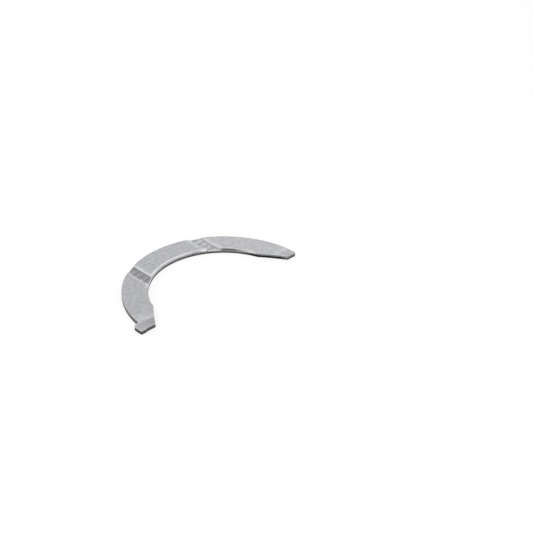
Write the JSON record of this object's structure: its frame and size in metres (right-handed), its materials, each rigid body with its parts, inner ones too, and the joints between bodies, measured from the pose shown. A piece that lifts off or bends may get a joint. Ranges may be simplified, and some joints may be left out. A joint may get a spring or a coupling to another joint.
{
  "type": "thrust washer",
  "caption": "Half-ring thrust washer with oil grooves across its running face, ramped ends and a locating tang at one end.",
  "frame": {"origin": "middle of the washer's bounding box on its back plane, which is the surface that it lies on; the journal's axis stands at x = 0.0014, y = -0.02145", "axes": "+Z along the journal's axis, out of the running face; +Y from the end faces towards the crown; +X along the line through both ends, away from the tang"},
  "size_m": [0.0892, 0.0434, 0.002],
  "materials": {
    "bearing_metal": "satin"
  },
  "bodies": {
    "root": {"thrust_washer": "bearing_metal"}
  },
  "joints": []
}
